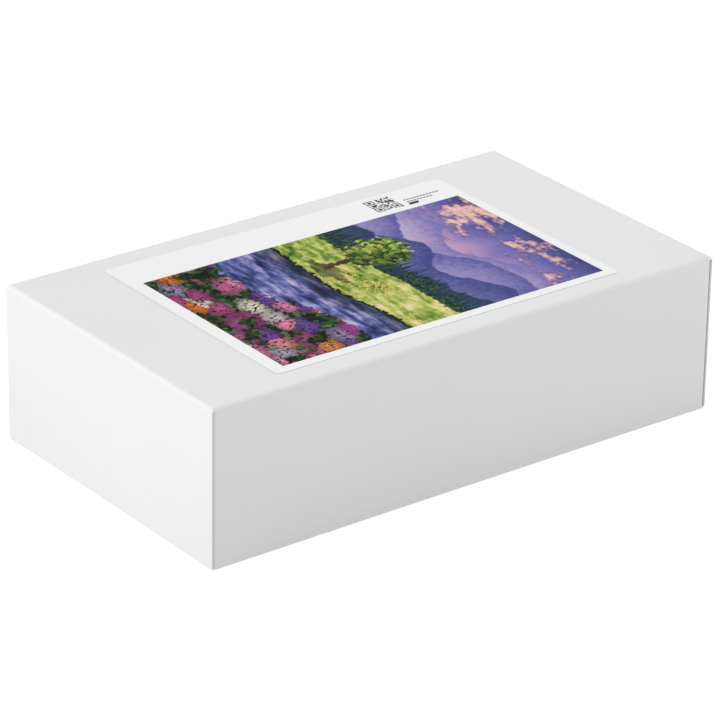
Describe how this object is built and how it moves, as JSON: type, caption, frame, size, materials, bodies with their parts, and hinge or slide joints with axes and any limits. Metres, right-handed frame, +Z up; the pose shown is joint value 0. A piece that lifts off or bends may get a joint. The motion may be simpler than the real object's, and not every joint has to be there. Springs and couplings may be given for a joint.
{
  "type": "boxed jigsaw puzzle",
  "caption": "Low white folding-board box with a lift-off lid and a printed picture label, holding a sealed clear bag of loose interlocking puzzle pieces.",
  "frame": {"origin": "middle of the tray's underside, on the surface that the box stands on", "axes": "+X along the box's length, towards the end that the label's picture points up to; -Y to the front long side; +Z up"},
  "size_m": [0.22, 0.125, 0.0607],
  "materials": {
    "white_board": "satin",
    "printed_label": "satin",
    "clear_film": "gloss",
    "puzzle_board": "satin"
  },
  "bodies": {
    "tray": {"tray": "white_board"},
    "bagged_puzzle": {"clear_bag": "clear_film", "puzzle_pieces_01": "puzzle_board", "puzzle_pieces_02": "puzzle_board", "puzzle_pieces_03": "puzzle_board", "puzzle_pieces_04": "puzzle_board", "puzzle_pieces_05": "puzzle_board", "puzzle_pieces_06": "puzzle_board", "puzzle_pieces_07": "puzzle_board", "puzzle_pieces_08": "puzzle_board", "puzzle_pieces_09": "puzzle_board", "puzzle_pieces_10": "puzzle_board", "puzzle_pieces_11": "puzzle_board", "puzzle_pieces_12": "puzzle_board", "puzzle_pieces_13": "puzzle_board", "puzzle_pieces_14": "puzzle_board", "puzzle_pieces_15": "puzzle_board", "puzzle_pieces_16": "puzzle_board", "puzzle_pieces_17": "puzzle_board", "puzzle_pieces_18": "puzzle_board"},
    "lid": {"lid": "white_board", "label": "printed_label"}
  },
  "joints": [
    {"name": "bag_lift", "type": "slide", "parent": "tray", "child": "bagged_puzzle", "axis": [0, 0, 1], "range_m": [0, 0.07]},
    {"name": "lid_lift", "type": "slide", "parent": "bagged_puzzle", "child": "lid", "axis": [0, 0, 1], "range_m": [0, 0.08]}
  ]
}
